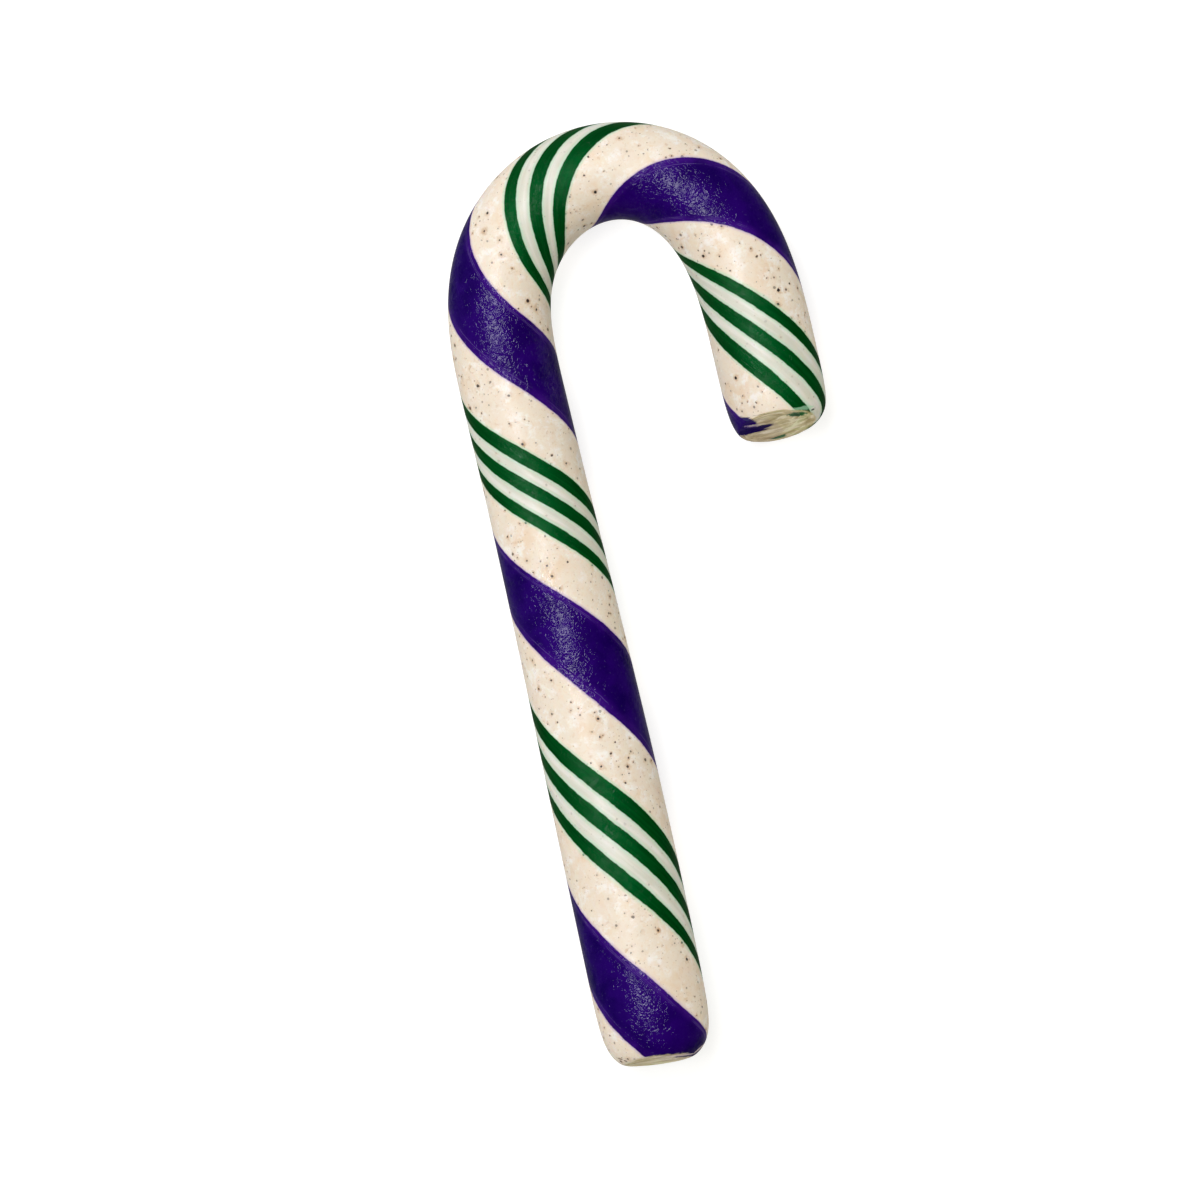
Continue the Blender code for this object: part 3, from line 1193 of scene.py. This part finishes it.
    def wrinkled_skin(self, work: SugarWork, purple: Socket, green: Socket) -> None:
        """Give the sugar its glossy skin, finely wrinkled as it set, with drawn-out scratches.

        Args:
            work: What the finish is made from.
            purple: The share of purple sugar.
            green: The share of green sugar.
        """
        bench, inputs = work.bench, work.shader.inputs
        cover = bench.math("MULTIPLY_ADD", purple, self.purple_gloss, self.pale_gloss)
        bench.feed(
            inputs["Coat Weight"], bench.math("MULTIPLY_ADD", green, self.green_gloss, cover)
        )
        inputs["Coat Roughness"].default_value = self.gloss_roughness
        inputs["Coat IOR"].default_value = self.refraction
        folds = bench.math("ABSOLUTE", bench.unevenness(work.skin, self.wrinkles))
        dyed = bench.math("MAXIMUM", purple, green)
        share = bench.math("MULTIPLY_ADD", dyed, self.dyed_folds, self.pale_folds)
        folds = bench.times(folds, bench.pattern(work.skin, self.calm), share)
        share = bench.math("MULTIPLY_ADD", green, self.green_lines, self.pale_lines)
        lines = bench.times(bench.clouds(work.sugar, self.lines), share)
        height = bench.math("ADD", folds, lines)
        for middle in self.scratches:
            groove = bench.rise(self.off_scratch(work, middle), self.groove)
            height = bench.math("SUBTRACT", height, groove)
        bench.feed(inputs["Coat Normal"], bench.bump(height, self.fold_height))


@dataclass
class CandyCane:
    """The whole cane: one rope of sugar with a shear cut across each end."""

    line: MiddleLine = MiddleLine()
    thickness: RopeThickness = RopeThickness()
    twist: Twist = Twist()
    stripes: StripeLayout = StripeLayout()
    strips: BakeStrips = BakeStrips()
    foot_cut: ShearCut = ShearCut(
        end=RopeEnd.FOOT,
        set_back=0.00110,
        rise_slope=0.19,
        turn_slope=-0.07,
        crease_softness=0.00040,
        ridge_height=0.00005,
        ridge_spacing=0.0021,
        ridge_slope=0.10,
        seed=3,
    )
    tip_cut: ShearCut = ShearCut(
        end=RopeEnd.TIP,
        set_back=0.00153,
        rise_slope=0.41,
        turn_slope=-0.25,
        crease_softness=0.00040,
        ridge_height=0.00008,
        ridge_spacing=0.0024,
        ridge_slope=0.35,
        seed=8,
    )
    sides: int = 144
    ring_spacing: float = 0.00042
    end_length: float = 0.010
    end_rings: int = 60
    floor_softness: float = 0.00003
    far_depth: float = -1.0
    cut_reach: float = 0.016
    outline_places: int = 1200
    piece: bpy.types.Object | None = None

    def ring_places(self) -> np.ndarray:
        """Return the places of the rings, close at the ends.

        Returns:
            The rising places, without those of the two poles.
        """
        near = self.end_length * (np.arange(1, self.end_rings) / self.end_rings) ** 2
        start = self.line.start + self.end_length
        end = self.line.end - self.end_length
        count = round((end - start) / self.ring_spacing)
        between = np.linspace(start, end, count + 1)
        return np.concatenate([self.line.start + near, between, (self.line.end - near)[::-1]])

    def rounded_radius(self, place: np.ndarray) -> np.ndarray:
        """Return the rope's radius with its ends rounded.

        Args:
            place: Places along the rope, from the foot.

        Returns:
            The radius at each place.
        """
        ends = self.thickness.rounding(place - self.line.start, self.line.end - place)
        return self.thickness.radius(place) * ends

    def skin_points(self, place: np.ndarray, turn: np.ndarray) -> np.ndarray:
        """Return the rope's skin before its ends are cut.

        Args:
            place: The place of each ring.
            turn: The angle of each side from the shown side, in radians.

        Returns:
            One point for each ring and side.
        """
        centre, sideways = self.ring_frames(place)
        radius = self.rounded_radius(place)
        out = sideways[:, None, :] * np.sin(turn)[None, :, None]
        out = out + np.array([0.0, 0.0, 1.0]) * np.cos(turn)[None, :, None]
        return centre[:, None, :] + out * radius[:, None, None]

    def ring_frames(self, place: np.ndarray) -> tuple[np.ndarray, np.ndarray]:
        """Return where each ring lies.

        Args:
            place: The place of each ring.

        Returns:
            The middle of each ring, and the direction from it towards the hook's inner side.
        """
        plan, heading = self.line.walk(place)
        height = self.thickness.radius(place) - self.thickness.flat_depth
        centre = np.column_stack([plan, height])
        sideways = np.column_stack([np.sin(heading), -np.cos(heading), np.zeros(len(place))])
        return centre, sideways

    def placed(self, points: np.ndarray) -> np.ndarray:
        """Move points from the rope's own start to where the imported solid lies.

        Args:
            points: Points measured from the start of the middle line.

        Returns:
            The points in the frame.
        """
        place = np.linspace(self.line.start, self.line.end, self.outline_places)
        skin = self.skin_points(place, np.radians([-90.0, 0.0, 90.0]))
        low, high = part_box(SOLID_NAME)
        middle = (skin[..., 0].min() + skin[..., 0].max()) / 2.0
        shift = np.array([(low.x + high.x) / 2.0 - middle, high.y - skin[..., 1].max(), 0.0])
        return points + shift

    def build(self) -> bpy.types.Object:
        """Build the rope's mesh with the places that its finish reads.

        Returns:
            The piece.
        """
        place = self.ring_places()
        turn = np.linspace(-math.pi, math.pi, self.sides, endpoint=False)
        poles = np.array([self.line.start, self.line.end])
        pole_points = self.ring_frames(poles)[0]
        rings = self.skin_points(place, turn)
        points = np.vstack([pole_points[:1], rings.reshape(-1, 3), pole_points[1:]])
        dyed = self.sugar_places(place, turn)
        points, cut_places = self.cut(points)
        points[:, 2] = soft_excess(points[:, 2], self.floor_softness)
        mesh = bpy.data.meshes.new(PIECE_NAME)
        mesh.from_pydata(self.placed(points).tolist(), [], self.faces(len(place)))
        mesh.shade_smooth()
        for name, values in ((SUGAR_PLACE, dyed), (CUT_PLACE, cut_places)):
            attribute = mesh.attributes.new(name, "FLOAT_VECTOR", "POINT")
            attribute.data.foreach_set("vector", values.astype(np.float32).ravel())
        self.add_bake_map(mesh, rings)
        self.piece = bpy.data.objects.new(PIECE_NAME, mesh)
        bpy.context.scene.collection.objects.link(self.piece)
        return self.piece

    def faces(self, ring_count: int) -> list[tuple[int, ...]]:
        """Return the mesh's faces.

        Args:
            ring_count: The number of rings between the two poles.

        Returns:
            The corners of each face, facing out.
        """
        sides = self.sides
        last = 1 + ring_count * sides
        faces: list[tuple[int, ...]] = []
        for side in range(sides):
            after = (side + 1) % sides
            faces.append((0, 1 + side, 1 + after))
            for ring in range(ring_count - 1):
                here = 1 + ring * sides
                faces.append(
                    (here + side, here + sides + side, here + sides + after, here + after)
                )
            here = 1 + (ring_count - 1) * sides
            faces.append((here + side, last, here + after))
        return faces

    def sugar_places(self, place: np.ndarray, turn: np.ndarray) -> np.ndarray:
        """Return each point's place in the untwisted rope.

        Args:
            place: The place of each ring.
            turn: The angle of each side from the shown side, in radians.

        Returns:
            One place for each point of the mesh, the poles included.
        """
        angle = self.twist.turned(place)[:, None] + np.degrees(turn)[None, :]
        angle = np.radians(self.stripes.dye_angle(place, angle))
        radius = self.rounded_radius(place)
        along = np.broadcast_to(place[:, None], angle.shape)
        rings = np.stack(
            [radius[:, None] * np.cos(angle), radius[:, None] * np.sin(angle), along], axis=-1
        )
        start = np.array([[0.0, 0.0, self.line.start]])
        end = np.array([[0.0, 0.0, self.line.end]])
        return np.vstack([start, rings.reshape(-1, 3), end])

    def cut(self, points: np.ndarray) -> tuple[np.ndarray, np.ndarray]:
        """Cut both ends.

        Args:
            points: The points of the rope.

        Returns:
            The moved points, and each point's place on the nearer cut.
        """
        ends = np.array([self.line.start, self.line.end])
        centres, sideways = self.ring_frames(ends)
        places = np.zeros_like(points)
        foot_half = np.arange(len(points)) < len(points) // 2
        moved_points = points.copy()
        for cut, centre, side, sign, half, offset in (
            (self.foot_cut, centres[0], sideways[0], 1.0, foot_half, 0.0),
            (self.tip_cut, centres[1], sideways[1], -1.0, ~foot_half, TIP_OFFSET),
        ):
            outward = np.array([side[1], -side[0], 0.0]) * sign
            moved, on_cut = cut.press(points[half], centre, outward, side * sign)
            near = np.linalg.norm(points[half] - centre, axis=1) < self.cut_reach
            moved_points[half] = np.where(near[:, None], moved, points[half])
            on_cut[~near, 2] = self.far_depth
            on_cut[:, 0] += offset
            places[half] = on_cut
        return moved_points, places

    def add_bake_map(self, mesh: bpy.types.Mesh, rings: np.ndarray) -> None:
        """Add the bake map.

        Args:
            mesh: The rope's mesh.
            rings: The points of its rings before the ends are cut.
        """
        top = self.sides // 2
        steps = np.linalg.norm(np.diff(rings[:, top], axis=0), axis=1)
        cap = np.linalg.norm(rings[0, top] - rings[0].mean(axis=0))
        run = cap + np.concatenate([[0.0], np.cumsum(steps)])
        run = np.concatenate([[0.0], run, [run[-1] + cap]])
        girth = np.linalg.norm(rings - np.roll(rings, 1, axis=1), axis=2).sum(axis=1)
        girth = np.concatenate([[0.0], girth, [0.0]])
        places, seam = self.strips.map_rings(run, girth, self.sides)
        corners = np.zeros(len(mesh.loops), int)
        mesh.loops.foreach_get("vertex_index", corners)
        counts = np.array([polygon.loop_total for polygon in mesh.polygons])
        starts = np.concatenate([[0], np.cumsum(counts)[:-1]])
        owner = np.repeat(np.arange(len(counts)), counts)
        side = np.repeat(np.arange(self.sides), len(rings) + 1)[owner]
        last = 1 + len(rings) * self.sides
        ring = 1 + (corners - 1) // self.sides
        corner_side = (corners - 1) % self.sides
        closing = (corner_side == 0) & (side == self.sides - 1)
        corner_side = np.where(closing, self.sides, corner_side)
        first_ring = np.minimum.reduceat(ring, starts)[owner]
        strip = (first_ring >= seam).astype(int)
        pole = (corners == 0) | (corners == last)
        found = places[strip, ring, np.where(pole, side, corner_side)]
        layer = mesh.uv_layers.new(name=BAKE_MAP)
        layer.data.foreach_set("uv", found.astype(np.float32).ravel())

    def dress(self, finish: BoiledSugar) -> None:
        """Give the rope its finish.

        Args:
            finish: The finish.
        """
        self.piece.data.materials.append(finish.material())

    def mount(self) -> None:
        """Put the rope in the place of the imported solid."""
        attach(self.piece, BODY_NAME)
        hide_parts(SOLID_NAME)


@dataclass(frozen=True)
class SoftLight:
    """A soft light panel that hangs round the cane and faces it."""

    name: str
    distance: float
    left_degrees: float
    up_degrees: float
    width: float
    height: float
    power: float
    colour: tuple[float, float, float]
    in_reflections: bool


@dataclass
class Studio:
    """The pale floor, the soft light and the camera above it."""

    floor_side: float = 6.0
    floor_gap: float = 0.00002
    floor_glow: float = 0.80
    floor_shade: Colour = (0.34, 0.34, 0.34, 1.0)
    floor_light: Colour = (0.36, 0.36, 0.36, 1.0)
    floor_clouds: Pattern = Pattern(Clouds(0.05, 3.0), Rise(0.2, 0.8))
    floor_roughness: float = 0.9
    floor_sheen: float = 0.1
    camera_height: float = 1.2
    camera_focus_height: float = 0.008
    view_centre: tuple[float, float] = (-0.01289, 0.00021)
    view_turn: float = math.radians(-12.647)
    view_width: float = 0.180
    view_near: float = 0.05
    view_far: float = 10.0
    sensor_width_mm: float = 36.0
    panels: tuple[SoftLight, ...] = (
        SoftLight("softbox", 2.0, 15.0, 13.0, 0.85, 1.5, 37.0, (1.0, 0.995, 1.04), True),
        SoftLight("reflector", 1.6, -64.0, 0.0, 1.2, 1.6, 1.3, (1.0, 0.87, 0.55), False),
    )
    room: Colour = (0.225, 0.201, 0.124, 1.0)
    dark_flag: Colour = (0.008, 0.008, 0.008, 1.0)
    bright_rim: Colour = (0.30, 0.29, 0.27, 1.0)
    rim_below: Rise = Rise(-0.68, -1.0)
    black_level: float = 0.005

    def build(self) -> None:
        """Build the floor, the lights, the room and the camera."""
        self.add_floor()
        for panel in self.panels:
            self.add_panel(panel)
        self.add_room()
        self.add_camera()
        self.set_levels()

    def set_levels(self) -> None:
        """Set the levels of the picture: true colours with deep blacks."""
        view = bpy.context.scene.view_settings
        view.view_transform = "Standard"
        view.use_curve_mapping = True
        view.curve_mapping.black_level = (self.black_level,) * 3
        view.curve_mapping.update()

    def add_floor(self) -> None:
        """Add the pale floor, which glows a little like a light table."""
        half = self.floor_side / 2.0
        mesh = bpy.data.meshes.new("floor")
        corners = [(-half, -half), (half, -half), (half, half), (-half, half)]
        mesh.from_pydata([(x, y, -self.floor_gap) for x, y in corners], [], [(0, 1, 2, 3)])
        floor = bpy.data.objects.new("floor", mesh)
        bpy.context.scene.collection.objects.link(floor)
        material = bpy.data.materials.new("pale_floor")
        bench = ShaderBench(material)
        shader = bench.tree.nodes["Principled BSDF"]
        skin = bench.node("ShaderNodeTexCoord").outputs["Object"]
        tone = bench.pattern(skin, self.floor_clouds)
        colour = bench.mix(tone, self.floor_shade, self.floor_light)
        bench.feed(shader.inputs["Base Color"], colour)
        shader.inputs["Roughness"].default_value = self.floor_roughness
        shader.inputs["Specular IOR Level"].default_value = self.floor_sheen
        shader.inputs["Emission Color"].default_value = (1.0, 1.0, 1.0, 1.0)
        shader.inputs["Emission Strength"].default_value = self.floor_glow
        mesh.materials.append(material)
        floor.visible_glossy = False

    def view_axes(self) -> tuple[Vector, Vector]:
        """Return the picture's own directions.

        Returns:
            The directions to the right and up in the picture.
        """
        right = Vector((math.cos(self.view_turn), math.sin(self.view_turn), 0.0))
        up = Vector((-math.sin(self.view_turn), math.cos(self.view_turn), 0.0))
        return right, up

    def add_panel(self, panel: SoftLight) -> None:
        """Hang a light panel.

        Args:
            panel: The panel.
        """
        right, up = self.view_axes()
        left = math.tan(math.radians(panel.left_degrees))
        high = math.tan(math.radians(panel.up_degrees))
        away = Vector((0.0, 0.0, 1.0)) - right * left + up * high
        away.normalize()
        light = bpy.data.lights.new(panel.name, "AREA")
        light.shape = "RECTANGLE"
        light.size = panel.width
        light.size_y = panel.height
        light.energy = panel.power
        light.color = panel.colour
        box = bpy.data.objects.new(panel.name, light)
        bpy.context.scene.collection.objects.link(box)
        box.location = away * panel.distance
        side = up.cross(away).normalized()
        top = away.cross(side)
        box.rotation_euler = Matrix((side, top, away)).transposed().to_euler()
        box.visible_camera = False
        box.visible_glossy = panel.in_reflections

    def add_room(self) -> None:
        """Add the room: a warm grey fill, dark in reflections but for its bright rim below."""
        world = bpy.data.worlds.new("room")
        bench = ShaderBench(world)
        sight = bench.node("ShaderNodeTexCoord").outputs["Generated"]
        below = bench.rise(bench.parts(sight)[2], self.rim_below)
        mirrored = bench.mix(below, self.dark_flag, self.bright_rim)
        in_mirror = bench.node("ShaderNodeLightPath").outputs["Is Glossy Ray"]
        background = bench.tree.nodes["Background"]
        bench.feed(background.inputs["Color"], bench.mix(in_mirror, self.room, mirrored))
        world.cycles.sampling_method = "NONE"
        bpy.context.scene.world = world

    def add_camera(self) -> None:
        """Add the camera, straight above the cane."""
        camera = bpy.data.cameras.new("camera")
        camera.sensor_width = self.sensor_width_mm
        camera.lens = self.sensor_width_mm / self.view_width * self.camera_height
        camera.clip_start = self.view_near
        camera.clip_end = self.view_far
        holder = bpy.data.objects.new("camera", camera)
        bpy.context.scene.collection.objects.link(holder)
        holder.location = (*self.view_centre, self.camera_height + self.camera_focus_height)
        holder.rotation_euler = (0.0, 0.0, self.view_turn)
        bpy.context.scene.camera = holder


def clear_scene() -> None:
    """Remove what a new file starts with."""
    for left_over in ("Cube", "Light", "Camera"):
        if left_over in bpy.data.objects:
            bpy.data.objects.remove(bpy.data.objects[left_over])


def main() -> None:
    """Build the studio and the cane."""
    logging.basicConfig(level=logging.INFO, format="%(name)s: %(message)s")
    clear_scene()
    Studio().build()
    log.info("studio: floor, softbox, room and camera")
    cane = CandyCane()
    piece = cane.build()
    cane.dress(BoiledSugar())
    cane.mount()
    log.info("%s: %d faces", piece.name, len(piece.data.polygons))


if __name__ == "__main__":
    main()
